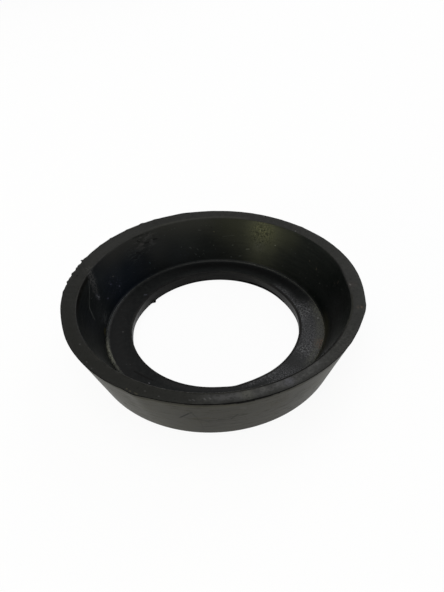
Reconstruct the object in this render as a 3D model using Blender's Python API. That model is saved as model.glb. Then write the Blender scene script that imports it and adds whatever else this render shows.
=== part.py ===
"""Pump piston seal: a flared cup moulded in one piece of black rubber.

The cup stands on its flat underside with its mouth up. It is a body of revolution about Z, and the
origin is the centre of the underside. All sizes are in metres. With the sizes below the sealing
edge is 80 mm across and the cup is 17.7 mm tall.
"""

import math

import bmesh
import bpy
from mathutils import Vector

# Bore and floor: the flat ring that the piston's plates clamp
BORE_DIAMETER = 0.0482
FLOOR_WIDTH = 0.0065  # from the bore's wall out to the middle of the moulding ridge
FLOOR_THICKNESS = 0.0036

# Flared wall: it leans outward from the floor up to the lip
HEEL_WIDTH = 0.00425  # from the middle of the moulding ridge out to the underside's edge
LIP_FLARE = 0.00515  # how far the sealing edge stands out beyond the underside's edge
HEIGHT = 0.0177

# Lip: a flat face that dishes toward the mouth, so that its outer edge is the highest and seals
LIP_WIDTH = 0.00375
LIP_DISH = 0.0006

# Moulding ridge: a low half-round line where the floor meets the wall
RIDGE_RADIUS = 0.0003

# Rounding of the edges. The sealing edge itself is left sharp
BORE_EDGE_RADIUS = 0.0003
UNDERSIDE_EDGE_RADIUS = 0.0005
MOUTH_EDGE_RADIUS = 0.0004

# How finely the round shapes are cut into facets
TURN_STEPS = 120
EDGE_STEPS = 4
RIDGE_STEPS = 6
SHARP_ANGLE = math.radians(30)

# Black rubber
RUBBER_COLOUR = (0.022, 0.022, 0.020, 1.0)
RUBBER_ROUGHNESS = 0.6


def clear_scene():
    """Removes every object, so that the script can be run again."""
    for old in list(bpy.data.objects):
        bpy.data.objects.remove(old, do_unlink=True)


def rounded_corner(before, corner, after, radius):
    """Points of the arc that rounds a section's corner, in the order of the outline."""
    to_before = (before - corner).normalized()
    to_after = (after - corner).normalized()
    half_angle = to_before.angle(to_after) / 2
    centre = corner + (to_before + to_after).normalized() * (radius / math.sin(half_angle))
    setback = radius / math.tan(half_angle)
    start = corner + to_before * setback - centre
    end = corner + to_after * setback - centre
    shares = [step / EDGE_STEPS for step in range(EDGE_STEPS + 1)]
    return [centre + start.slerp(end, share) * radius for share in shares]


def ridge_points(centre):
    """Points of the half-round moulding ridge, from the wall's side over to the floor's side."""
    points = []
    for step in range(RIDGE_STEPS + 1):
        angle = math.pi * step / RIDGE_STEPS
        points.append(centre + Vector((math.cos(angle), math.sin(angle))) * RIDGE_RADIUS)
    return points


def cup_section():
    """Closed section of the cup as (radius, height) points.

    It starts at the sealing edge and runs down the outer wall, in along the underside, up the bore,
    out over the floor and the ridge, and up the inner wall to the lip.
    """
    bore_radius = BORE_DIAMETER / 2
    ridge_radius = bore_radius + FLOOR_WIDTH
    underside_radius = ridge_radius + HEEL_WIDTH
    sealing_radius = underside_radius + LIP_FLARE

    sealing_edge = Vector((sealing_radius, HEIGHT))
    underside_edge = Vector((underside_radius, 0))
    bore_bottom = Vector((bore_radius, 0))
    bore_top = Vector((bore_radius, FLOOR_THICKNESS))
    mouth_edge = Vector((sealing_radius - LIP_WIDTH, HEIGHT - LIP_DISH))
    ridge = ridge_points(Vector((ridge_radius, FLOOR_THICKNESS)))
    wall_foot = ridge[0]
    floor_end = ridge[-1]

    section = [sealing_edge]
    section += rounded_corner(sealing_edge, underside_edge, bore_bottom, UNDERSIDE_EDGE_RADIUS)
    section += rounded_corner(underside_edge, bore_bottom, bore_top, BORE_EDGE_RADIUS)
    section += rounded_corner(bore_bottom, bore_top, floor_end, BORE_EDGE_RADIUS)
    section += reversed(ridge)
    section += rounded_corner(wall_foot, mouth_edge, sealing_edge, MOUTH_EDGE_RADIUS)
    return section


def turned_mesh(name, section):
    """Mesh made by turning a closed section all the way round Z."""
    bm = bmesh.new()
    verts = [bm.verts.new((point.x, 0, point.y)) for point in section]
    edges = [bm.edges.new((vert, verts[index - 1])) for index, vert in enumerate(verts)]
    bmesh.ops.spin(
        bm,
        geom=verts + edges,
        cent=(0, 0, 0),
        axis=(0, 0, 1),
        angle=math.tau,
        steps=TURN_STEPS,
        use_merge=True,
    )
    bmesh.ops.recalc_face_normals(bm, faces=bm.faces)
    mesh = bpy.data.meshes.new(name)
    bm.to_mesh(mesh)
    bm.free()
    mesh.shade_smooth()
    mesh.set_sharp_from_angle(angle=SHARP_ANGLE)
    return mesh


def rubber_material():
    """Satin black rubber."""
    material = bpy.data.materials.new("black_rubber")
    material.use_nodes = True
    shader = material.node_tree.nodes["Principled BSDF"]
    shader.inputs["Base Color"].default_value = RUBBER_COLOUR
    shader.inputs["Roughness"].default_value = RUBBER_ROUGHNESS
    shader.inputs["Metallic"].default_value = 0.0
    return material


def build_cup_seal():
    """The seal's one moulded piece."""
    mesh = turned_mesh("cup_seal", cup_section())
    mesh.materials.append(rubber_material())
    seal = bpy.data.objects.new("cup_seal", mesh)
    bpy.context.scene.collection.objects.link(seal)
    return seal


clear_scene()
build_cup_seal()
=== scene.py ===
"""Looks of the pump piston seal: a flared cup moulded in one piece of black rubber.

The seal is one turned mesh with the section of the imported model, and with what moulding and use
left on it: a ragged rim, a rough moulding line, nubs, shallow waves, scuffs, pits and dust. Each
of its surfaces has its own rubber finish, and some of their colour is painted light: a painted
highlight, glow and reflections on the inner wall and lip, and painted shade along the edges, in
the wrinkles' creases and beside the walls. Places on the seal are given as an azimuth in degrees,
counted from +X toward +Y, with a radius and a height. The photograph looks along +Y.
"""

from __future__ import annotations

import logging
import math
from dataclasses import dataclass, field, replace
from enum import Enum

import bpy
import numpy as np
from mathutils import Matrix, Vector, noise

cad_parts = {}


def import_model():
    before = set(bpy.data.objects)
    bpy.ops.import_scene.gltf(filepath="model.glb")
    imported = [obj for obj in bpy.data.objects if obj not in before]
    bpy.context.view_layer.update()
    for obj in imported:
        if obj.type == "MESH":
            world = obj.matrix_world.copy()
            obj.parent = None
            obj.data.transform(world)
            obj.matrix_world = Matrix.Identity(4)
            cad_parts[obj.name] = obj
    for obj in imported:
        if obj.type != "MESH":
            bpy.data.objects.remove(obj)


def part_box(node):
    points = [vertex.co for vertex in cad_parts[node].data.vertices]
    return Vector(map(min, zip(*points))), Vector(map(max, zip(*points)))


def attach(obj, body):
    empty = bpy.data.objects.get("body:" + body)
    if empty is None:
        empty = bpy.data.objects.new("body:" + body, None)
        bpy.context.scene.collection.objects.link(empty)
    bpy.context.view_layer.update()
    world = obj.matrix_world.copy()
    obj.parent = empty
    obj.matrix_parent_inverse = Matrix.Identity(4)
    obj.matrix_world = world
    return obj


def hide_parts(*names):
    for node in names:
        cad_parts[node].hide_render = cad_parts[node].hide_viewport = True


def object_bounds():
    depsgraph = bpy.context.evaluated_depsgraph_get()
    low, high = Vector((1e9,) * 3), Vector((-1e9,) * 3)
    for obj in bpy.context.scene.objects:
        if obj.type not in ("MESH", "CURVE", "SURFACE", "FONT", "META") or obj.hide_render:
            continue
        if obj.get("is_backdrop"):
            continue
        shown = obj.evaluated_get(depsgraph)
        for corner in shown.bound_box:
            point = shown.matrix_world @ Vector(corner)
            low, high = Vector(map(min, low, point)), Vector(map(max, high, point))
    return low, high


MM = 0.001
LOG = logging.getLogger("piston_seal")

Colour = tuple[float, float, float]
Stretch = tuple[float, float, float]
Spot = tuple[float, float]

AROUND: Stretch = (0.16, 0.16, 1.6)
BLACK: Colour = (0.001, 0.001, 0.001)
SOOT: Colour = (0.004, 0.004, 0.004)
GREY: Colour = (0.06, 0.06, 0.06)
PALE: Colour = (0.10, 0.10, 0.10)

# How fast a wall follows its upper edge out of the round: above 1, more slowly at first
LEAN_POWER = 1.5

# Noise levels between which the grains of a patch fade in
SPECKLE: tuple[float, float] = (0.44, 0.66)

# How many finer layers the noise of the grains, the wear and the relief has
GRAIN_DETAIL = 4.0
WEAR_DETAIL = 3.0
RELIEF_DETAIL = 2.0
RELIEF_ROUGH = 0.55

# Up to this share of its radius or half width, a speck or a scratch has its full strength
SPECK_CORE = 0.6
STROKE_CORE = 0.3

# Added to each speck's random draw, so that the smallest has a third of the largest one's radius
SPECK_SPREAD = 0.5


class Across(Enum):
    """What a band on the seal is counted by."""

    RADIUS = "radius"
    HEIGHT = "height"


class Zone(Enum):
    """The seal's surfaces, numbered as the material slots of its mesh."""

    OUTER_WALL = 0
    UNDERSIDE = 1
    BORE = 2
    FLOOR = 3
    RIDGE = 4
    INNER_WALL = 5
    LIP = 6
    # MOUTH_EDGE: dull rubber with a painted black line of shade at the front right
    MOUTH_EDGE = 7
    # EDGE: painted shade, a near-black line along the sealing edge and on the bore's lower part
    EDGE = 8


class Pull(Enum):
    """What moves the rings near it in or out of the round."""

    RAGGED_RIM = "ripple and torn flash of the sealing edge"
    RIM = "broad bumps of the sealing edge"
    MOUTH = "bumps of the lip's inner edge"
    BORE_LOW = "bumps of the bore's lower edge"
    BORE_HIGH = "bumps of the bore's upper edge"
    BORE_NUB = "nub on the bore's lower edge"
    CORNER = "bumps of the corner between floor and wall"


@dataclass(frozen=True)
class Place:
    """A place on the seal: azimuth in degrees, radius and height in metres."""

    azimuth: float
    radius: float
    height: float

    def point(self) -> Vector:
        """The place as a point of the frame."""
        angle = math.radians(self.azimuth)
        return Vector((math.cos(angle) * self.radius, math.sin(angle) * self.radius, self.height))


@dataclass(frozen=True)
class SealSizes:
    """Sizes of the seal's section in metres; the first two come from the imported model."""

    sealing_radius: float
    height: float
    bore_radius: float = 24.1 * MM
    floor_width: float = 6.5 * MM
    floor_thickness: float = 3.6 * MM
    heel_width: float = 4.25 * MM
    lip_width: float = 3.75 * MM
    lip_dish: float = 0.6 * MM
    ridge_size: float = 0.3 * MM
    bore_edge: float = 0.3 * MM
    underside_edge: float = 0.5 * MM
    mouth_edge: float = 0.4 * MM
    sealing_edge: float = 0.06 * MM

    @property
    def ridge_radius(self) -> float:
        """Radius of the moulding line's middle."""
        return self.bore_radius + self.floor_width

    @property
    def underside_radius(self) -> float:
        """Radius of the underside's outer edge."""
        return self.ridge_radius + self.heel_width

    @property
    def mouth_radius(self) -> float:
        """Radius of the lip's inner edge."""
        return self.sealing_radius - self.lip_width

    @property
    def mouth_height(self) -> float:
        """Height of the lip's inner edge."""
        return self.height - self.lip_dish


def smooth_step(value: float) -> float:
    """A share from 0 to 1 with a soft start and end."""
    share = share_of(value)
    return share * share * (3.0 - 2.0 * share)


def ring_noise(azimuth: float, waves: float, seed: float) -> float:
    """Smooth noise round the seal, with no seam.

    Args:
        azimuth: Angle round the axis, in degrees.
        waves: About how many bumps go round a radian.
        seed: Picks one of many patterns.

    Returns:
        A value from about -1 to 1.
    """
    angle = math.radians(azimuth)
    return noise.noise(Vector((math.cos(angle) * waves, math.sin(angle) * waves, seed)))


def share_of(value: float) -> float:
    """The value kept between 0 and 1."""
    return min(max(value, 0.0), 1.0)


def turn_between(azimuth: float, other: float) -> float:
    """The signed angle from one azimuth to another, in degrees, from -180 to 180."""
    return (azimuth - other + 180.0) % 360.0 - 180.0


def rounded_corner(
    before: Vector, corner: Vector, after: Vector, radius: float, steps: int
) -> list[Vector]:
    """Points of the arc that rounds a section's corner.

    Args:
        before: The outline's point before the corner.
        corner: The corner itself.
        after: The outline's point after the corner.
        radius: Radius of the arc.
        steps: How many chords the arc has.

    Returns:
        The arc's points in the order of the outline.
    """
    to_before = (before - corner).normalized()
    to_after = (after - corner).normalized()
    half_angle = to_before.angle(to_after) / 2
    centre = corner + (to_before + to_after).normalized() * (radius / math.sin(half_angle))
    setback = radius / math.tan(half_angle)
    start = corner + to_before * setback - centre
    end = corner + to_after * setback - centre
    return [centre + start.slerp(end, step / steps) * radius for step in range(steps + 1)]


def straight_run(start: Vector, end: Vector, steps: int, crowd: float = 1.0) -> list[Vector]:
    """Points inside a straight stretch, without its two ends.

    Args:
        start: Where the stretch starts.
        end: Where it ends.
        steps: Into how many parts it is cut.
        crowd: Above 1 the parts get shorter toward the start.

    Returns:
        The points between the ends.
    """
    return [start.lerp(end, (step / steps) ** crowd) for step in range(1, steps)]


@dataclass(frozen=True)
class Bump:
    """A place where an edge stands out from the round, or is set in.

    Attributes:
        azimuth: Its middle, in degrees.
        reach: How far it stands out, in metres; below 0 it is set in.
        spread: Its half width round the seal, in metres.
    """

    azimuth: float
    reach: float
    spread: float

    def stand(self, azimuth: float, radius: float) -> float:
        """How far the edge stands out at an azimuth.

        Args:
            azimuth: Angle round the axis, in degrees.
            radius: Radius of the edge that carries the bump.

        Returns:
            The distance in metres.
        """
        along = math.radians(turn_between(azimuth, self.azimuth)) * radius
        return self.reach * math.exp(-((along / self.spread) ** 2))


def bumps(*rows: tuple[float, float, float]) -> tuple[Bump, ...]:
    """Bumps from their azimuths in degrees, and their reaches and spreads in millimetres."""
    return tuple(Bump(azimuth, reach * MM, spread * MM) for azimuth, reach, spread in rows)


def stand_all(edge_bumps: tuple[Bump, ...], azimuth: float, radius: float) -> float:
    """How far an edge of that radius stands out at an azimuth under all its bumps, in metres."""
    return sum(bump.stand(azimuth, radius) for bump in edge_bumps)


@dataclass(frozen=True)
class Ripple:
    """Coarse and fine noise round the seal.

    Attributes:
        waves: About how many bumps of the coarse layer go round a radian.
        seed: Picks the coarse layer's pattern.
        fine_share: The fine layer's height, as a share of the coarse one's.
        fine_waves: About how many bumps of the fine layer go round a radian.
        fine_seed: Picks the fine layer's pattern.
    """

    waves: float
    seed: float
    fine_share: float = 0.0
    fine_waves: float = 1.0
    fine_seed: float = 0.0

    def at(self, azimuth: float) -> float:
        """The noise at an azimuth, from about -1 to 1."""
        fine = ring_noise(azimuth, self.fine_waves, self.fine_seed)
        return ring_noise(azimuth, self.waves, self.seed) + self.fine_share * fine


@dataclass(frozen=True)
class OutOfRound:
    """How the soft seal has settled out of its moulded round.

    Attributes:
        rim: Broad bumps of the sealing edge.
        mouth: Broad bumps of the lip's inner edge.
        bore_low: Bumps of the bore's lower edge.
        bore_high: Bumps of the bore's upper edge.
        corner: Bumps of the corner where the floor meets the wall.
        mouth_offset: How far the lip's inner edge lies off the axis, along X and Y.
        bore_offset: How far the bore lies off the axis, along X and Y.
    """

    rim: tuple[Bump, ...] = bumps(
        (47.0, -0.52, 19.0), (127.0, 0.50, 21.0), (103.0, 0.26, 2.4), (342.0, 0.30, 3.2),
        (245.5, 0.30, 2.0), (199.0, -0.30, 7.0),
    )
    mouth: tuple[Bump, ...] = bumps((0.0, -0.40, 5.0), (339.0, 0.22, 4.0))
    bore_low: tuple[Bump, ...] = bumps((3.0, 0.27, 4.4), (30.0, -0.10, 3.0), (170.5, 0.36, 6.0))
    bore_high: tuple[Bump, ...] = bumps(
        (36.0, -0.60, 12.0), (166.0, -0.36, 6.0), (280.0, 0.25, 2.2), (297.0, -0.08, 3.0),
    )
    corner: tuple[Bump, ...] = bumps((350.0, 0.75, 12.5))
    mouth_offset: tuple[float, float] = (0.30 * MM, -0.29 * MM)
    bore_offset: tuple[float, float] = (0.37 * MM, 0.13 * MM)

    def mouth_shift(self, azimuth: float, radius: float) -> float:
        """How far out the lip's inner edge lies at an azimuth.

        Args:
            azimuth: Angle round the axis, in degrees.
            radius: Moulded radius of that edge.

        Returns:
            The distance in metres; below 0 the edge lies further in.
        """
        angle = math.radians(azimuth)
        along_x, along_y = self.mouth_offset
        shift = along_x * math.cos(angle) + along_y * math.sin(angle)
        return shift + stand_all(self.mouth, azimuth, radius)


SETTLED = OutOfRound()


@dataclass(frozen=True)
class RaggedRim:
    """The sealing edge: a faint ripple all round, and torn flash at the back left."""

    ripple: float = 0.05 * MM
    torn_start: float = 157.0
    torn_end: float = 177.0
    torn_fade: float = 3.0
    torn_depth: float = 0.20 * MM
    softness: float = 0.34 * MM
    nubs: tuple[Bump, ...] = bumps(
        (181.5, 0.16, 0.80), (174.9, 0.42, 0.50), (172.9, 0.18, 0.50), (169.4, 0.32, 0.60),
        (166.0, 0.26, 0.50), (163.9, 0.34, 0.60), (160.3, 0.80, 0.42), (158.8, 0.30, 0.50),
        (148.0, 0.12, 0.60), (141.5, 0.24, 0.45), (132.0, 0.16, 0.60), (124.1, 0.42, 0.70),
        (117.5, 0.22, 0.80), (43.0, 0.14, 0.50), (241.0, -0.10, 0.60), (278.0, 0.07, 1.20),
    )
    wavy: Ripple = Ripple(9.0, 3.1, 0.6, 31.0, 8.4)
    torn: Ripple = Ripple(60.0, 5.7, 0.8, 140.0, 1.9)
    drop_wavy: Ripple = Ripple(22.0, 6.6)
    drop_torn: Ripple = Ripple(90.0, 2.2)

    def torn_share(self, azimuth: float) -> float:
        """How torn the edge is at an azimuth.

        Args:
            azimuth: Angle round the axis, in degrees.

        Returns:
            The share, from 0 to 1.
        """
        rise = smooth_step((azimuth - self.torn_start) / self.torn_fade + 0.5)
        fall = smooth_step((self.torn_end - azimuth) / self.torn_fade + 0.5)
        return rise * fall

    def stand(self, azimuth: float, radius: float) -> float:
        """How far the edge stands out from the round at an azimuth.

        Args:
            azimuth: Angle round the axis, in degrees.
            radius: Radius of the edge.

        Returns:
            The distance in metres; below 0 the edge is set in.
        """
        out = self.ripple * self.wavy.at(azimuth)
        out += self.torn_share(azimuth) * self.torn_depth * self.torn.at(azimuth)
        return out + stand_all(self.nubs, azimuth, radius)

    def drop(self, azimuth: float) -> float:
        """How far the edge hangs below its height at an azimuth.

        Args:
            azimuth: Angle round the axis, in degrees.

        Returns:
            The distance in metres.
        """
        drop = self.ripple * (0.5 + 0.5 * self.drop_wavy.at(azimuth))
        ragged = 0.5 + 0.5 * self.drop_torn.at(azimuth)
        return drop + self.torn_share(azimuth) * self.torn_depth * ragged


@dataclass(frozen=True)
class MouldingRidge:
    """The low line round the floor: thin at the back, rough and broad at the left front."""

    plain_size: float = 0.60
    worn_size: float = 0.30
    rough_size: float = 1.75
    rough_start: float = 186.0
    rough_end: float = 222.0
    worn_start: float = 285.0
    worn_end: float = 372.0
    fade: float = 12.0
    ripple_size: float = 0.10
    ripple: Ripple = Ripple(26.0, 4.4, 0.6, 70.0, 7.3)
    ragged_size: float = 0.8
    ragged: Ripple = Ripple(75.0, 9.9, 0.6, 150.0, 2.8)

    def share(self, azimuth: float, start: float, end: float) -> float:
        """How far an azimuth lies inside a sector, from 0 to 1.

        Args:
            azimuth: Angle round the axis, in degrees.
            start: Where the sector starts.
            end: Where it ends, which may be above 360.

        Returns:
            The share, which fades at both ends of the sector.
        """
        middle = (start + end) / 2
        inside = (end - start) / 2 - abs(turn_between(azimuth, middle))
        return smooth_step(inside / self.fade + 0.5)

    def size(self, azimuth: float) -> float:
        """The line's size at an azimuth.

        Args:
            azimuth: Angle round the axis, in degrees.

        Returns:
            The size, as a share of its nominal size.
        """
        rough = self.share(azimuth, self.rough_start, self.rough_end)
        worn = self.share(azimuth, self.worn_start, self.worn_end)
        size = self.plain_size + rough * (self.rough_size - self.plain_size)
        size += worn * (self.worn_size - self.plain_size)
        size += self.ripple_size * self.ripple.at(azimuth)
        return size + self.ragged_size * rough * self.ragged.at(azimuth)


@dataclass(frozen=True)
class Station:
    """One ring of the turned mesh.

    Attributes:
        point: The ring's place on the section, as (radius, height).
        zone: The surface that starts at this ring.
        ridge_arm: From the moulding line's middle to the ring, for a ring on that line.
        shares: How much the ring follows each pull, from 0 to 1.
        bore_share: How much it follows the bore off the axis.
        from_edge: How far it lies from the sealing edge, in metres.
        from_mouth: How far it lies from the lip's inner edge, in metres.
    """

    point: Vector
    zone: Zone
    ridge_arm: Vector | None = None
    shares: dict[Pull, float] = field(default_factory=dict)
    bore_share: float = 0.0
    from_edge: float = 0.0
    from_mouth: float = 0.0


@dataclass(frozen=True)
class Spoke:
    """What the seal's edges do at one azimuth.

    Attributes:
        azimuth: The azimuth in degrees.
        pulls: How far each pull moves its edge outward, in metres.
        rim_drop: How far the sealing edge hangs below its height, in metres.
        ridge_size: The moulding line's size, as a share of its nominal size.
    """

    azimuth: float
    pulls: dict[Pull, float]
    rim_drop: float
    ridge_size: float


@dataclass
class CupSeal:
    """The seal's one moulded piece.

    Attributes:
        sizes: Sizes of its section.
        rim: Its sealing edge.
        ridge: Its moulding line.
        shape: How it has settled out of the round.
        bore_nub: The nub on the bore's lower edge.
        undercut_depth: How deep the outer wall is set in just under the sealing edge.
        undercut_start: Where the undercut starts below the edge.
        undercut_end: Where it ends.
        undercut_delay: How much later than its start it begins to deepen, as a share of the start.
        undercut_steps: Distances of the rings below the edge, in millimetres.
        edge_on_lip: Width of the dark edge of painted shade on the lip.
        edge_on_wall: Its width on the outer wall, where dark_edges and edge_waver change it.
        dark_bore: Where the bore's lower part is dark with painted shade.
        mouth_edge_reach: Width of the mouth's dull edge, on the sector that is given with it.
        wave_depth: Depth of the walls' shallow waves.
        wave_fade: Over what share of the height they fade toward the wall's ends.
        fine_turn: Degrees between spokes where the rim is torn, from fine_start to fine_end.
        plain_turn: Degrees between spokes elsewhere.
    """

    sizes: SealSizes
    rim: RaggedRim = field(default_factory=RaggedRim)
    ridge: MouldingRidge = field(default_factory=MouldingRidge)
    shape: OutOfRound = SETTLED
    bore_nub: Bump = Bump(144.2, 0.75 * MM, 0.65 * MM)
    undercut_depth: float = 0.12 * MM
    undercut_start: float = 0.14 * MM
    undercut_end: float = 1.3 * MM
    undercut_delay: float = 1 / 3
    undercut_steps: tuple[float, ...] = (0.05, 0.1, 0.15, 0.2, 0.28, 0.38, 0.52, 0.7, 0.92, 1.16, 1.4)
    wall_steps: int = 30
    floor_steps: int = 14
    lip_steps: int = 15
    lip_crowding: float = 1.5
    flat_steps: int = 10
    fine_arc_steps: int = 4
    arc_steps: int = 6
    ridge_steps: int = 8
    edge_on_lip: float = 0.2 * MM
    edge_on_wall: float = 0.36 * MM
    # Where the painted shade of the dark edge is wider, at the front
    dark_edges: tuple[Bump, ...] = bumps((279.0, 0.30, 13.0), (279.5, 0.30, 2.2))
    edge_waver: float = 0.10 * MM
    edge_ripple: Ripple = Ripple(24.0, 7.7)
    # Painted shade on the bore's lower part at the back right
    dark_bore: Bump = Bump(46.0, 1.2 * MM, 12.0 * MM)
    mouth_edge_reach: float = 0.24 * MM
    mouth_edge_middle: float = 282.0
    mouth_edge_half_turn: float = 68.0
    wave_depth: float = 0.03 * MM
    wave_length: float = 9.0 * MM
    wave_fade: float = 0.25
    fine_start: float = 98.0
    fine_end: float = 182.0
    fine_turn: float = 0.29
    plain_turn: float = 0.80
    name: str = "cup_seal_rubber"

    def outer_wall_points(self, start: Vector, end: Vector) -> list[Vector]:
        """The outer wall from under the sealing edge down, with its shallow undercut.

        Args:
            start: End of the sealing edge's arc.
            end: Start of the underside edge's arc.

        Returns:
            The points between the two, top to bottom.
        """
        down = (end - start).normalized()
        inward = Vector((down.y, -down.x))
        distances = [step * MM for step in self.undercut_steps]
        last = distances[-1]
        rest = (end - start).length - last
        distances += [last + rest * step / self.wall_steps for step in range(1, self.wall_steps)]
        points = []
        for distance in distances:
            rise = smooth_step(distance / self.undercut_start - self.undercut_delay)
            fall = smooth_step((self.undercut_end - distance) / self.undercut_end)
            points.append(start + down * distance + inward * (self.undercut_depth * rise * fall))
        return points

    def stations(self) -> list[Station]:
        """The rings of the turned mesh, in the order of the section.

        Returns:
            The rings from the sealing edge down the outer wall, in along the underside, up the
            bore, out over the floor and up the inner wall to the lip.
        """
        s = self.sizes
        sealing = Vector((s.sealing_radius, s.height))
        underside = Vector((s.underside_radius, 0.0))
        bore_bottom = Vector((s.bore_radius, 0.0))
        bore_top = Vector((s.bore_radius, s.floor_thickness))
        mouth = Vector((s.mouth_radius, s.mouth_height))
        ridge_middle = Vector((s.ridge_radius, s.floor_thickness))
        floor_end = ridge_middle - Vector((s.ridge_size, 0.0))
        wall_foot = ridge_middle + Vector((s.ridge_size, 0.0))

        edge_arc = rounded_corner(mouth, sealing, underside, s.sealing_edge, self.fine_arc_steps)
        underside_arc = rounded_corner(sealing, underside, bore_bottom, s.underside_edge, self.arc_steps)
        bore_low_arc = rounded_corner(underside, bore_bottom, bore_top, s.bore_edge, self.fine_arc_steps)
        bore_high_arc = rounded_corner(bore_bottom, bore_top, floor_end, s.bore_edge, self.fine_arc_steps)
        mouth_arc = rounded_corner(wall_foot, mouth, sealing, s.mouth_edge, self.arc_steps)
        mouth_half = self.arc_steps // 2

        runs = [
            (Zone.EDGE, edge_arc),
            (Zone.OUTER_WALL, self.outer_wall_points(edge_arc[-1], underside_arc[0])),
            (Zone.OUTER_WALL, underside_arc),
            (Zone.UNDERSIDE, straight_run(underside_arc[-1], bore_low_arc[0], self.flat_steps)),
            (Zone.EDGE, bore_low_arc),
            (Zone.BORE, straight_run(bore_low_arc[-1], bore_high_arc[0], self.flat_steps)),
            (Zone.BORE, bore_high_arc),
            (Zone.FLOOR, straight_run(bore_high_arc[-1], floor_end, self.floor_steps)),
        ]
        rings = [Station(point, zone) for zone, points in runs for point in points]
        rings += self.ridge_stations(ridge_middle)
        lip = straight_run(edge_arc[0], mouth_arc[-1], self.lip_steps, self.lip_crowding)
        runs = [
            (Zone.INNER_WALL, straight_run(wall_foot, mouth_arc[0], self.wall_steps)),
            (Zone.INNER_WALL, mouth_arc[:mouth_half]),
            (Zone.LIP, mouth_arc[mouth_half:]),
            (Zone.LIP, lip[::-1]),
        ]
        rings += [Station(point, zone) for zone, points in runs for point in points]
        return [self.with_shares(ring) for ring in rings]

    def ridge_stations(self, middle: Vector) -> list[Station]:
        """The rings of the half-round moulding line, from the floor's side to the wall's.

        Args:
            middle: The line's middle on the floor, as (radius, height).

        Returns:
            The rings, each with its arm from the middle.
        """
        rings = []
        for step in range(self.ridge_steps + 1):
            angle = math.pi * (1.0 - step / self.ridge_steps)
            arm = Vector((math.cos(angle), math.sin(angle))) * self.sizes.ridge_size
            zone = Zone.INNER_WALL if step == self.ridge_steps else Zone.RIDGE
            rings.append(Station(middle + arm, zone, arm))
        return rings

    def with_shares(self, ring: Station) -> Station:
        """The same ring, with how much it follows each edge that isn't true.

        Args:
            ring: A ring of the section.

        Returns:
            The ring with its shares.
        """
        s = self.sizes
        radius, height = ring.point
        from_sealing = (ring.point - Vector((s.sealing_radius, s.height))).length
        from_bore = (ring.point - Vector((s.bore_radius, 0.0))).length
        across_lip = share_of((radius - s.mouth_radius) / s.lip_width)
        up_wall = max((height - s.floor_thickness) / (s.mouth_height - s.floor_thickness), 0.0)
        up_bore = share_of(height / s.floor_thickness)
        bore_share = share_of((s.ridge_radius - radius) / s.floor_width)
        shares = {
            Pull.RAGGED_RIM: math.exp(-((from_sealing / self.rim.softness) ** 2)),
            Pull.BORE_LOW: bore_share * (1.0 - up_bore),
            Pull.BORE_HIGH: bore_share * up_bore,
            Pull.BORE_NUB: math.exp(-((from_bore / self.bore_nub.spread) ** 2)),
        }
        if ring.zone is Zone.LIP or (ring.zone is Zone.EDGE and across_lip > 0.0):
            shares[Pull.RIM] = across_lip
            shares[Pull.MOUTH] = 1.0 - across_lip
        elif ring.zone is Zone.OUTER_WALL:
            shares[Pull.RIM] = max(height / s.height, 0.0) ** LEAN_POWER
        elif ring.zone is Zone.INNER_WALL:
            shares[Pull.MOUTH] = min(up_wall**LEAN_POWER, 1.0)
            shares[Pull.CORNER] = max(1.0 - up_wall, 0.0) ** LEAN_POWER
        elif ring.zone in (Zone.FLOOR, Zone.RIDGE):
            shares[Pull.CORNER] = min((radius - s.bore_radius) / s.floor_width, 1.0)
        from_mouth = (ring.point - Vector((s.mouth_radius, s.mouth_height))).length
        return replace(
            ring, shares=shares, bore_share=bore_share, from_edge=from_sealing, from_mouth=from_mouth
        )

    def zone_at(self, ring: Station, azimuth: float) -> Zone:
        """The zone of the face that starts at a ring, with the uneven width of the dark edges of painted
        shade.

        Args:
            ring: The ring.
            azimuth: Angle round the axis, in degrees.

        Returns:
            The edge's zone close to a dark edge, and elsewhere the ring's own.
        """
        if ring.zone is Zone.BORE:
            dark = ring.point.y < self.dark_bore.stand(azimuth, self.sizes.bore_radius)
            return Zone.EDGE if dark else ring.zone
        reach = 0.0
        if ring.zone is Zone.LIP:
            in_front = abs(turn_between(azimuth, self.mouth_edge_middle)) < self.mouth_edge_half_turn
            if in_front and ring.from_mouth < self.mouth_edge_reach:
                return Zone.MOUTH_EDGE
            reach = self.edge_on_lip
        elif ring.zone is Zone.OUTER_WALL:
            reach = self.edge_on_wall + self.edge_waver * self.edge_ripple.at(azimuth)
            reach += stand_all(self.dark_edges, azimuth, self.sizes.sealing_radius)
        return Zone.EDGE if ring.from_edge < reach else ring.zone

    def azimuths(self) -> list[float]:
        """Azimuths of the mesh's spokes, closer together where the rim is torn.

        Returns:
            The azimuths in degrees, from 0 up.
        """
        azimuths = []
        azimuth = 0.0
        while azimuth < 360.0 - self.plain_turn / 2:
            azimuths.append(azimuth)
            fine = self.fine_start <= azimuth < self.fine_end
            azimuth += self.fine_turn if fine else self.plain_turn
        return azimuths

    def spoke(self, azimuth: float) -> Spoke:
        """What each edge does at an azimuth.

        Args:
            azimuth: Angle round the axis, in degrees.

        Returns:
            The spoke.
        """
        s = self.sizes
        shape = self.shape
        pulls = {
            Pull.RAGGED_RIM: self.rim.stand(azimuth, s.sealing_radius),
            Pull.RIM: stand_all(shape.rim, azimuth, s.sealing_radius),
            Pull.MOUTH: stand_all(shape.mouth, azimuth, s.mouth_radius),
            Pull.BORE_LOW: stand_all(shape.bore_low, azimuth, s.bore_radius),
            Pull.BORE_HIGH: stand_all(shape.bore_high, azimuth, s.bore_radius),
            Pull.BORE_NUB: -self.bore_nub.stand(azimuth, s.bore_radius),
            Pull.CORNER: stand_all(shape.corner, azimuth, s.ridge_radius),
        }
        return Spoke(azimuth, pulls, self.rim.drop(azimuth), self.ridge.size(azimuth))

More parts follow.
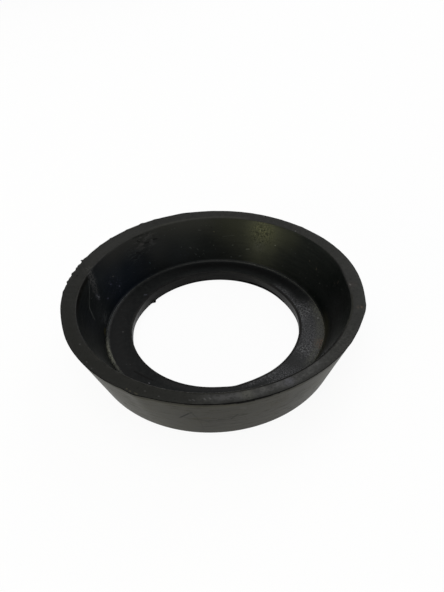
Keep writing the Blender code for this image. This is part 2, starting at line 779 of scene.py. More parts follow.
    def ring_point(self, ring: Station, spoke: Spoke) -> Vector:
        """Where a ring crosses a spoke, with the marks of moulding and use.

        Args:
            ring: The ring.
            spoke: The spoke.

        Returns:
            The vertex in the frame.
        """
        radius = ring.point.x + sum(share * spoke.pulls[pull] for pull, share in ring.shares.items())
        height = ring.point.y - spoke.rim_drop * ring.shares[Pull.RAGGED_RIM]
        if ring.ridge_arm is not None:
            radius += ring.ridge_arm.x * (spoke.ridge_size - 1.0)
            height += ring.ridge_arm.y * (spoke.ridge_size - 1.0)
        point = Place(spoke.azimuth, radius, height).point()
        point += Vector((*self.shape.mouth_offset, 0.0)) * ring.shares.get(Pull.MOUTH, 0.0)
        point += Vector((*self.shape.bore_offset, 0.0)) * ring.bore_share
        if ring.zone in (Zone.OUTER_WALL, Zone.INNER_WALL):
            wave = noise.noise(point / self.wave_length) - 0.5
            to_edge = min(height, self.sizes.height - height)
            away_from_edges = smooth_step(to_edge / (self.sizes.height * self.wave_fade))
            outward = 1.0 if ring.zone is Zone.OUTER_WALL else -1.0
            shift = outward * self.wave_depth * wave * away_from_edges
            point += Place(spoke.azimuth, shift, 0.0).point()
        return point

    def build(self) -> bpy.types.Object:
        """The seal's mesh as an object, each face carrying the number of its zone's material slot.

        Returns:
            The object, linked to the scene, with no materials yet.
        """
        rings = self.stations()
        spokes = [self.spoke(azimuth) for azimuth in self.azimuths()]
        verts = [self.ring_point(ring, spoke) for spoke in spokes for ring in rings]
        count = len(rings)
        faces = []
        for spoke_index in range(len(spokes)):
            here = spoke_index * count
            there = (spoke_index + 1) % len(spokes) * count
            for index in range(count):
                after = (index + 1) % count
                faces.append((here + index, here + after, there + after, there + index))
        mesh = bpy.data.meshes.new(self.name)
        mesh.from_pydata(verts, [], faces)
        zones = [self.zone_at(ring, spoke.azimuth).value for spoke in spokes for ring in rings]
        mesh.polygons.foreach_set("material_index", np.array(zones, np.int32))
        mesh.shade_smooth()
        mesh.update()
        seal = bpy.data.objects.new(self.name, mesh)
        bpy.context.scene.collection.objects.link(seal)
        LOG.info("%s: %d rings, %d spokes, %d quads", self.name, count, len(spokes), len(faces))
        return seal


class NodeSheet:
    """A node tree, with short calls for the steps that the looks share."""

    def __init__(self, owner: bpy.types.Material | bpy.types.World) -> None:
        """Switches on the nodes and takes their tree.

        Args:
            owner: The material or the world that the nodes belong to.
        """
        owner.use_nodes = True
        self.tree = owner.node_tree
        self.nodes = self.tree.nodes

    def feed(self, target: bpy.types.NodeSocket, value: object) -> None:
        """Fills a socket.

        Args:
            target: The socket.
            value: A number, a vector or another node's output.
        """
        if isinstance(value, bpy.types.NodeSocket):
            self.tree.links.new(value, target)
        else:
            target.default_value = value

    def add(self, kind: str, inputs: dict[str | int, object], **settings: str) -> bpy.types.Node:
        """One new node.

        Args:
            kind: Blender's name of the node, without its first words.
            inputs: What goes into its sockets: numbers, vectors or other nodes' outputs.
            settings: Its settings, such as its operation.

        Returns:
            The node.
        """
        node = self.nodes.new("ShaderNode" + kind)
        for name, value in settings.items():
            setattr(node, name, value)
        for name, value in inputs.items():
            self.feed(node.inputs[name], value)
        return node

    def math(self, operation: str, first: object, second: object = 0.0) -> bpy.types.NodeSocket:
        """One step of arithmetic with two numbers or outputs."""
        return self.add("Math", {0: first, 1: second}, operation=operation).outputs[0]

    def vector(self, operation: str, first: object, second: object) -> bpy.types.NodeOutputs:
        """One step of arithmetic with two vectors or outputs."""
        return self.add("VectorMath", {0: first, 1: second}, operation=operation).outputs

    def ramp(
        self, value: object, low: float, high: float, out_low: float = 0.0, out_high: float = 1.0
    ) -> bpy.types.NodeSocket:
        """A soft step of a value: from low to high it goes from out_low to out_high."""
        ends = {"From Min": low, "From Max": high, "To Min": out_low, "To Max": out_high}
        return self.add("MapRange", {"Value": value} | ends, interpolation_type="SMOOTHSTEP").outputs[0]


class RubberSheet(NodeSheet):
    """The node tree of one rubber material, with the patterns that the finishes share.

    A stretch is how much closer a pattern lies along each axis.
    """

    def __init__(self, name: str) -> None:
        """Starts a material with one Principled shader.

        Args:
            name: The material's name.
        """
        self.material = bpy.data.materials.new(name)
        super().__init__(self.material)
        self.shader = self.nodes["Principled BSDF"]
        self.place = self.add("TexCoord", {}).outputs["Object"]

    def fall(self, value: object, core: float, reach: float) -> bpy.types.NodeSocket:
        """A mask that is 1 below the core, and fades to 0 at the reach."""
        return self.ramp(value, core, reach, 1.0, 0.0)

    def both(self, first: object, second: object) -> bpy.types.NodeSocket:
        """A mask where both masks show."""
        return self.math("MULTIPLY", first, second)

    def between(self, value: object, middle: float, reach: float, core: float) -> bpy.types.NodeSocket:
        """A mask that fades to both sides of the value's middle."""
        return self.fall(self.math("ABSOLUTE", self.math("SUBTRACT", value, middle)), core, reach)

    def stretched(self, scale: Stretch) -> bpy.types.NodeSocket:
        """The surface's place, with each axis scaled."""
        return self.vector("MULTIPLY", self.place, scale)["Vector"]

    def from_axis(self) -> bpy.types.NodeSocket:
        """The distance from the seal's axis."""
        flat = self.stretched((1.0, 1.0, 0.0))
        return self.add("VectorMath", {0: flat}, operation="LENGTH").outputs["Value"]

    def parts(self) -> bpy.types.NodeOutputs:
        """The surface's place as X, Y and Z; its Z is the height above the underside."""
        return self.add("SeparateXYZ", {0: self.place}).outputs

    def sector(self, middle: float, half_turn: float, fade: float) -> bpy.types.NodeSocket:
        """A mask over part of a turn.

        Args:
            middle: Azimuth of its middle, in degrees.
            half_turn: How far it reaches to each side, in degrees.
            fade: Over how many of those degrees it fades.

        Returns:
            The mask's output.
        """
        parts = self.parts()
        azimuth = self.math("ARCTAN2", parts["Y"], parts["X"])
        turned = self.math("SUBTRACT", azimuth, math.radians(middle))
        wrapped = self.add("Math", {0: turned, 1: math.pi, 2: -math.pi}, operation="WRAP").outputs[0]
        away = self.math("ABSOLUTE", wrapped)
        return self.fall(away, math.radians(half_turn - fade), math.radians(half_turn))

    def noise(
        self, size: float, detail: float, rough: float, stretch: Stretch
    ) -> bpy.types.NodeSocket:
        """Cloudy noise over the surface.

        Args:
            size: Size of its largest features, in metres.
            detail: How many finer layers it has.
            rough: How strong the finer layers are.
            stretch: Its stretch.

        Returns:
            The noise, from 0 to 1.
        """
        place = self.stretched(stretch)
        inputs = {"Vector": place, "Scale": 1.0 / size, "Detail": detail, "Roughness": rough}
        return self.add("TexNoise", inputs).outputs["Fac"]

    def specks(self, dust: Dust) -> bpy.types.NodeSocket:
        """Scattered specks of dust.

        Args:
            dust: The dust.

        Returns:
            The mask, 1 on a speck.
        """
        inputs = {"Vector": self.stretched(dust.stretch), "Scale": 1.0 / dust.spacing}
        cells = self.add("TexVoronoi", inputs).outputs
        draws = self.add("SeparateColor", {"Color": cells["Color"]}).outputs
        picked = self.math("LESS_THAN", draws["Red"], dust.share)
        scale = dust.size / dust.spacing / (1.0 + SPECK_SPREAD)
        reach = self.math("MULTIPLY", self.math("ADD", draws["Green"], SPECK_SPREAD), scale)
        near = self.math("DIVIDE", cells["Distance"], reach)
        return self.both(picked, self.fall(near, SPECK_CORE, 1.0))

    def near(self, place: Place, reach: float) -> bpy.types.NodeSocket:
        """A round mask, 1 at a place and 0 beyond its reach."""
        return self.fall(self.vector("DISTANCE", self.place, place.point())["Value"], 0.0, reach)

    def stroke(self, start: Place, end: Place, width: float) -> bpy.types.NodeSocket:
        """A mask along a straight scratch.

        Args:
            start: One end of the scratch.
            end: The other end.
            width: Its half width, in metres.

        Returns:
            The mask, 1 along the scratch.
        """
        along = end.point() - start.point()
        away = self.vector("SUBTRACT", self.place, start.point())["Vector"]
        share = self.vector("DOT_PRODUCT", away, along / along.length_squared)["Value"]
        share = self.math("MINIMUM", self.math("MAXIMUM", share, 0.0), 1.0)
        foot = self.add("VectorMath", {0: along, "Scale": share}, operation="SCALE").outputs["Vector"]
        gap = self.vector("DISTANCE", away, foot)["Value"]
        return self.fall(gap, width * STROKE_CORE, width)

    def tint(self, under: object, mask: bpy.types.NodeSocket, colour: Colour) -> bpy.types.NodeSocket:
        """One colour laid over another where a mask says.

        Args:
            under: The colour below, as an output or a plain colour.
            mask: How much of the new colour shows.
            colour: The new colour.

        Returns:
            The mixed colour.
        """
        base = under if isinstance(under, bpy.types.NodeSocket) else (*under, 1.0)
        inputs = {"Factor": mask, "A": base, "B": (*colour, 1.0)}
        return self.add("Mix", inputs, data_type="RGBA").outputs["Result"]

    def bump(
        self, height: bpy.types.NodeSocket, depth: float, below: bpy.types.NodeSocket | None
    ) -> bpy.types.NodeSocket:
        """A layer of fine relief.

        Args:
            height: The relief, from 0 to 1.
            depth: Its full height, in metres.
            below: The normal of the layer below, if there is one.

        Returns:
            The normal's output.
        """
        inputs = {"Strength": 1.0, "Distance": depth, "Height": height}
        if below is not None:
            inputs["Normal"] = below
        return self.add("Bump", inputs).outputs["Normal"]


@dataclass(frozen=True)
class Bloom:
    """A patch where the rubber is paler, darker, worn or dusty, or where light or shade is painted.

    Attributes:
        place: Its middle.
        reach: How far it goes, in metres.
        strength: How strongly it shows, from 0 to 1.
        colour: Its colour.
        grain: Size of the specks that it is made of, in metres; 0 for a smooth shade.
        grain_levels: The noise levels between which a speck fades in.
        stretch: How much closer the specks lie along each axis.
        grain_rough: How fine and ragged the specks are, from 0 to 1.
    """

    place: Place
    reach: float
    strength: float
    colour: Colour
    grain: float = 0.0
    grain_levels: tuple[float, float] = SPECKLE
    stretch: Stretch = (1.0, 1.0, 1.0)
    grain_rough: float = 0.75

    def spread(self, sheet: RubberSheet) -> bpy.types.NodeSocket:
        """The patch's outline, 1 in its middle."""
        return sheet.near(self.place, self.reach)

    def mask(self, sheet: RubberSheet) -> bpy.types.NodeSocket:
        """Where the patch shows.

        Args:
            sheet: The material's sheet.

        Returns:
            The mask's output.
        """
        mask = sheet.both(self.spread(sheet), self.strength)
        if self.grain > 0.0:
            grains = sheet.noise(self.grain, GRAIN_DETAIL, self.grain_rough, self.stretch)
            mask = sheet.both(mask, sheet.ramp(grains, *self.grain_levels))
        return mask


@dataclass(frozen=True)
class Band(Bloom):
    """A bloom that runs round the seal over part of a turn.

    Attributes:
        across: What its reach is counted by.
        half_turn: How far it goes to each side of its middle, in degrees.
        fade: Over how many of those degrees its ends fade.
        core: How far its full strength goes to each side, in metres.
    """

    across: Across = Across.RADIUS
    half_turn: float = 30.0
    fade: float = 12.0
    core: float = 0.0

    def spread(self, sheet: RubberSheet) -> bpy.types.NodeSocket:
        """The band's outline, 1 along its middle.

        Args:
            sheet: The material's sheet.

        Returns:
            The mask's output.
        """
        if self.across is Across.RADIUS:
            profile = sheet.between(sheet.from_axis(), self.place.radius, self.reach, self.core)
        else:
            profile = sheet.between(sheet.parts()["Z"], self.place.height, self.reach, self.core)
        return sheet.both(profile, sheet.sector(self.place.azimuth, self.half_turn, self.fade))


@dataclass(frozen=True)
class Scuff:
    """A scratch, a speck or a stroke of painted shade: a straight mark from one place to another."""

    start: Place
    end: Place
    width: float
    strength: float
    colour: Colour

    def mask(self, sheet: RubberSheet) -> bpy.types.NodeSocket:
        """Where the mark shows."""
        return sheet.both(sheet.stroke(self.start, self.end, self.width), self.strength)


@dataclass(frozen=True)
class Dust:
    """Fine specks strewn over a surface.

    Attributes:
        spacing: How far apart the places for specks lie, in metres.
        size: Radius of the largest speck, in metres.
        share: How many of the places have a speck, from 0 to 1.
        colour: Their colour.
        stretch: How much closer the specks lie along each axis.
    """

    spacing: float
    size: float
    share: float
    colour: Colour = (0.09, 0.09, 0.085)
    stretch: Stretch = (1.0, 1.0, 1.0)

    def mask(self, sheet: RubberSheet) -> bpy.types.NodeSocket:
        """Where the specks lie."""
        return sheet.specks(self)


@dataclass(frozen=True)
class Relief:
    """A layer of fine relief, all over a surface or in one patch of it.

    Attributes:
        size: Size of its largest features, in metres.
        depth: Its full height, in metres.
        stretch: How much closer the pattern lies along each axis.
        patch: Where it lies; None for all over.
    """

    size: float
    depth: float
    stretch: Stretch = (1.0, 1.0, 1.0)
    patch: Bloom | None = None

    def height(self, sheet: RubberSheet) -> bpy.types.NodeSocket:
        """The relief's height, from 0 to 1.

        Args:
            sheet: The material's sheet.

        Returns:
            The height's output.
        """
        height = sheet.noise(self.size, RELIEF_DETAIL, RELIEF_ROUGH, self.stretch)
        if self.patch is not None:
            height = sheet.both(height, self.patch.spread(sheet))
        return height


@dataclass(frozen=True)
class RubberFinish:
    """One surface's finish.

    Attributes:
        name: The material's name.
        dark: Colour of the rubber's darker parts.
        light: Colour of its lighter parts.
        mottle: Size of the mottling, in metres.
        stretch: How the mottling and streaks lie along X, Y and Z.
        roughness: Roughness of its smoother and its rougher parts.
        specular: Specular level of the rubber.
        reliefs: Layers of relief, the coarsest first.
        dusts: Layers of dust.
        blooms: Pale, dark or dusty patches and bands, some of them painted light or shade.
        scuffs: Single scratches and specks.
        mottle_rough: How ragged the mottling is, from 0 to 1.
        mottle_levels: The noise levels between which the lighter colour fades in.
        wear: Size of the patches that are rougher, in metres.
        wear_rough: How ragged they are, from 0 to 1.
        wear_levels: The noise levels between which they fade in.
    """

    name: str
    dark: Colour
    light: Colour
    mottle: float = 1.2 * MM
    stretch: Stretch = (1.0, 1.0, 1.0)
    roughness: tuple[float, float] = (0.45, 0.6)
    specular: float = 0.5
    reliefs: tuple[Relief, ...] = (Relief(1.6 * MM, 0.02 * MM), Relief(0.22 * MM, 0.02 * MM))
    dusts: tuple[Dust, ...] = ()
    blooms: tuple[Bloom, ...] = ()
    scuffs: tuple[Scuff, ...] = ()
    mottle_rough: float = 0.6
    mottle_levels: tuple[float, float] = (0.35, 0.7)
    wear: float = 0.8 * MM
    wear_rough: float = 0.7
    wear_levels: tuple[float, float] = (0.5, 0.75)

    def material(self) -> bpy.types.Material:
        """The finish as a node material.

        Returns:
            A new material.
        """
        sheet = RubberSheet(self.name)
        cloud = sheet.noise(self.mottle, GRAIN_DETAIL, self.mottle_rough, self.stretch)
        colour = sheet.tint(self.dark, sheet.ramp(cloud, *self.mottle_levels), self.light)
        wear = sheet.noise(self.wear, WEAR_DETAIL, self.wear_rough, self.stretch)
        worn = sheet.ramp(wear, *self.wear_levels)
        for bloom in self.blooms:
            mask = bloom.mask(sheet)
            colour = sheet.tint(colour, mask, bloom.colour)
            if bloom.grain > 0.0:
                worn = sheet.math("MAXIMUM", worn, mask)
        for mark in (*self.dusts, *self.scuffs):
            mask = mark.mask(sheet)
            colour = sheet.tint(colour, mask, mark.colour)
            worn = sheet.math("MAXIMUM", worn, mask)
        normal = None
        for relief in self.reliefs:
            normal = sheet.bump(relief.height(sheet), relief.depth, normal)
        ports = sheet.shader.inputs
        sheet.feed(ports["Base Color"], colour)
        sheet.feed(ports["Roughness"], sheet.ramp(worn, 0.0, 1.0, *self.roughness))
        sheet.feed(ports["Specular IOR Level"], self.specular)
        sheet.feed(ports["Normal"], normal)
        return sheet.material


@dataclass(frozen=True)
class Marks:
    """Marks on one of the seal's surfaces.

    A spot is an azimuth in degrees and a level in millimetres: a height on the walls, and elsewhere
    a radius. The calls take all lengths in millimetres.

    Attributes:
        sizes: The seal's sizes.
        zone: The surface.
    """

    sizes: SealSizes
    zone: Zone

    @property
    def across(self) -> Across:
        """What a level is on the surface."""
        return Across.HEIGHT if self.zone in (Zone.OUTER_WALL, Zone.INNER_WALL) else Across.RADIUS

    def place(self, spot: Spot) -> Place:
        """Where a spot lies on the surface.

        Args:
            spot: The spot.

        Returns:
            Its place; on the inner wall, where the seal has settled to.
        """
        s = self.sizes
        azimuth = spot[0]
        level = spot[1] * MM
        if self.zone is Zone.FLOOR:
            return Place(azimuth, level, s.floor_thickness)
        if self.zone is Zone.LIP:
            rise = (level - s.mouth_radius) * s.lip_dish / s.lip_width
            return Place(azimuth, level, s.mouth_height + rise)
        if self.zone is Zone.OUTER_WALL:
            flare = s.sealing_radius - s.underside_radius
            return Place(azimuth, s.underside_radius + flare * level / s.height, level)
        foot = s.ridge_radius + s.ridge_size
        up = share_of((level - s.floor_thickness) / (s.mouth_height - s.floor_thickness))
        shift = SETTLED.mouth_shift(azimuth, s.mouth_radius) * up**LEAN_POWER
        return Place(azimuth, foot + (s.mouth_radius - foot) * up + shift, level)

    def scuffs(self, *rows: tuple[Spot, Spot, float, float, Colour]) -> tuple[Scuff, ...]:
        """Scratches and specks.

        Args:
            rows: Each one's start, end, half width, strength and colour.

        Returns:
            The scuffs, in the same order.
        """
        return tuple(
            Scuff(self.place(start), self.place(end), width * MM, strength, colour)
            for start, end, width, strength, colour in rows
        )

    def bloom(
        self, spot: Spot, reach: float, strength: float, colour: Colour, grain: float = 0.0,
        levels: tuple[float, float] = SPECKLE, **looks: object
    ) -> Bloom:
        """A round patch; the looks are more of its fields."""
        return Bloom(self.place(spot), reach * MM, strength, colour, grain * MM, levels, **looks)

    def band(
        self, spot: Spot, reach: float, strength: float, colour: Colour, grain: float = 0.0,
        levels: tuple[float, float] = SPECKLE, core: float = 0.0, **looks: object
    ) -> Band:
        """A band round part of the surface; the looks are more of its fields."""
        looks |= {"across": self.across, "core": core * MM}
        return Band(self.place(spot), reach * MM, strength, colour, grain * MM, levels, **looks)


def outer_wall_finish(on: Marks) -> RubberFinish:
    """The outer wall: streaked round the seal, with soft patches, a few scratches and painted shade at
    the front.

    Args:
        on: Places its marks.

    Returns:
        The finish.
    """
    return RubberFinish(
        "outer_wall_rubber",
        dark=(0.0155, 0.0146, 0.0092),
        light=(0.0225, 0.0210, 0.0136),
        stretch=AROUND,
        roughness=(0.42, 0.6),
        specular=0.067,
        reliefs=(Relief(1.6 * MM, 0.02 * MM, AROUND), Relief(0.22 * MM, 0.008 * MM)),
        blooms=(
            # Painted shade: the front of the wall darker
            on.bloom((266.0, 8.5), 15.0, 0.6, (0.007, 0.006, 0.003)),
            on.bloom((274.0, 9.5), 6.0, 0.4, (0.014, 0.012, 0.008)),
            on.band((272.0, 8.0), 9.0, 0.25, (0.004, 0.003, 0.002), 3.0, (0.50, 0.66), stretch=AROUND,
                    half_turn=42.0),
            on.band((280.0, 9.0), 9.0, 0.5, (0.034, 0.031, 0.022), 2.6, (0.50, 0.68),
                    stretch=(0.6, 0.6, 1.0), half_turn=42.0),
            on.bloom((291.0, 12.5), 5.0, 0.6, (0.037, 0.033, 0.024), 1.6, (0.42, 0.56)),
            on.bloom((312.0, 11.0), 9.0, 0.6, (0.034, 0.033, 0.015)),
            on.band((279.0, 16.5), 0.7, 0.5, (0.034, 0.034, 0.020), 1.2, (0.40, 0.60), stretch=AROUND,
                    half_turn=36.0),
            on.bloom((248.0, 3.5), 3.0, 0.7, (0.075, 0.073, 0.055), 0.45, (0.54, 0.66)),
        ),
        scuffs=on.scuffs(
            ((266.4, 16.2), (274.0, 15.6), 0.40, 0.4, (0.040, 0.042, 0.030)),
            ((258.1, 9.2), (262.8, 13.3), 0.40, 0.5, SOOT),
            ((258.6, 9.7), (261.6, 12.3), 0.24, 0.7, BLACK),
            ((262.6, 13.0), (264.3, 9.5), 0.26, 0.4, SOOT),
            ((271.0, 9.0), (273.4, 8.3), 0.34, 0.5, SOOT),
            ((275.2, 8.6), (277.4, 10.9), 0.26, 0.6, SOOT),
            ((278.4, 14.1), (279.6, 13.8), 0.45, 0.5, GREY),
            ((264.8, 8.0), (265.2, 3.0), 0.30, 0.25, SOOT),
            ((234.5, 6.1), (235.0, 6.1), 0.50, 1.0, BLACK),
        ),
    )


def underside_finish() -> RubberFinish:
    """The underside: plain satin rubber.

    Returns:
        The finish.
    """
    return RubberFinish(
        "underside_rubber",
        dark=(0.010, 0.010, 0.010),
        light=(0.019, 0.019, 0.018),
        roughness=(0.5, 0.7),
        specular=0.2,
        dusts=(Dust(0.9 * MM, 0.13 * MM, 0.1),),
    )


def bore_finish() -> RubberFinish:
    """The bore's wall: smooth, with faint streaks.

    Returns:
        The finish.
    """
    return RubberFinish(
        "bore_rubber",
        dark=(0.007, 0.007, 0.007),
        light=(0.014, 0.014, 0.013),
        stretch=AROUND,
        roughness=(0.45, 0.6),
        specular=0.085,
        dusts=(Dust(0.9 * MM, 0.13 * MM, 0.02),),
        blooms=(Bloom(Place(144.2, 23.4 * MM, 0.2 * MM), 1.3 * MM, 0.9, (0.010, 0.004, 0.003)),),
    )


def floor_finish(on: Marks) -> RubberFinish:
    """The floor: painted shade at the back by the wall with painted light toward the bore, a painted
    shadow inside the lip at the front left, and pale and grainy at the right.

    Args:
        on: Places its marks.

    Returns:
        The finish.
    """
    pale = (0.105, 0.105, 0.112)
    white = (0.190, 0.190, 0.190)
    olive = (0.070, 0.071, 0.060)
    speckle = (0.41, 0.66)
    return RubberFinish(
        "floor_rubber",
        dark=(0.0034, 0.0040, 0.0042),
        light=(0.0086, 0.0094, 0.0092),
        roughness=(0.42, 0.62),
        specular=0.13,
        dusts=(
            Dust(0.9 * MM, 0.13 * MM, 0.14, GREY),
            Dust(0.5 * MM, 0.08 * MM, 0.20, (0.030, 0.030, 0.030)),
        ),
        blooms=(
            # Painted shade on the floor by the back wall, and painted light toward the bore there
            on.band((70.0, 28.3), 2.6, 0.85, BLACK, half_turn=60.0, fade=32.0),
            on.band((86.0, 24.2), 2.4, 0.70, (0.011, 0.0125, 0.012), half_turn=72.0, fade=30.0),
            on.band((188.0, 28.5), 4.5, 0.55, (0.0125, 0.0125, 0.0125), half_turn=42.0, fade=20.0),
            on.band((268.0, 24.9), 1.6, 0.7, (0.0130, 0.0130, 0.0128), half_turn=38.0, fade=16.0),
            on.band((16.0, 24.6), 3.0, 0.80, pale, 0.38, speckle, grain_rough=0.65, half_turn=27.0),
            on.bloom((6.0, 27.4), 7.0, 0.85, pale, 0.38, speckle, grain_rough=0.65),
            on.bloom((350.0, 28.0), 8.0, 0.85, pale, 0.40, speckle, grain_rough=0.65),
            on.bloom((335.0, 28.0), 8.0, 0.8, pale, 0.38, speckle, grain_rough=0.65),
            on.bloom((310.0, 27.4), 8.0, 0.70, pale, 0.36, speckle, grain_rough=0.7),
            on.band((297.0, 24.8), 1.5, 0.9, pale, 0.42, half_turn=15.0, fade=8.0),
            on.bloom((5.0, 27.4), 5.0, 0.9, white, 0.46, (0.55, 0.66), grain_rough=0.6),
            on.bloom((333.0, 27.8), 4.0, 0.9, white, 0.46, (0.55, 0.66), grain_rough=0.6),
            on.bloom((303.0, 26.2), 3.6, 0.9, white, 0.40, (0.57, 0.66), grain_rough=0.65),
            on.bloom((319.5, 26.0), 3.2, 0.75, (0.0085, 0.0085, 0.0088)),
            on.band((347.0, 31.0), 2.8, 0.85, olive, 0.46, (0.36, 0.60), half_turn=30.0, core=1.0),
            on.bloom((339.5, 31.2), 3.0, 0.9, (0.105, 0.060, 0.036), 0.45, (0.44, 0.58)),
        ),
        scuffs=on.scuffs(
            ((186.1, 26.2), (186.2, 26.3), 0.27, 0.9, GREY),
            # Painted shadow on the floor just inside the lip at the front left, in two strokes
            ((220.6, 27.5), (226.0, 27.0), 0.40, 0.9, BLACK),
            ((226.0, 27.0), (233.0, 26.5), 0.40, 0.9, BLACK),
            ((232.6, 27.6), (232.9, 27.6), 0.26, 0.6, (0.12, 0.12, 0.13)),
            ((147.2, 25.1), (147.9, 25.6), 0.32, 0.7, (0.06, 0.06, 0.08)),
            ((358.7, 30.0), (359.1, 30.1), 0.28, 0.65, (0.20, 0.20, 0.20)),
        ),
    )


def ridge_finish(on: Marks) -> RubberFinish:
    """The moulding line: thin and faint, and pale and yellowish where it is rough.

    Args:
        on: Places its marks.

    Returns:
        The finish.
    """
    return RubberFinish(
        "ridge_rubber",
        dark=(0.011, 0.012, 0.011),
        light=(0.027, 0.029, 0.026),
        roughness=(0.4, 0.6),
        specular=0.19,
        mottle=0.9 * MM,
        blooms=(
            on.bloom((203.0, 30.6), 9.0, 1.0, (0.130, 0.130, 0.100), 0.5, (0.40, 0.56)),
            on.band((168.0, 30.6), 2.0, 0.9, (0.052, 0.055, 0.062), 0.5, half_turn=24.0),
            on.bloom((62.0, 30.6), 6.0, 0.7, (0.060, 0.060, 0.058), 0.4),
            on.band((350.0, 31.2), 1.8, 0.9, (0.080, 0.077, 0.058), 0.45, (0.38, 0.60)),
        ),
    )


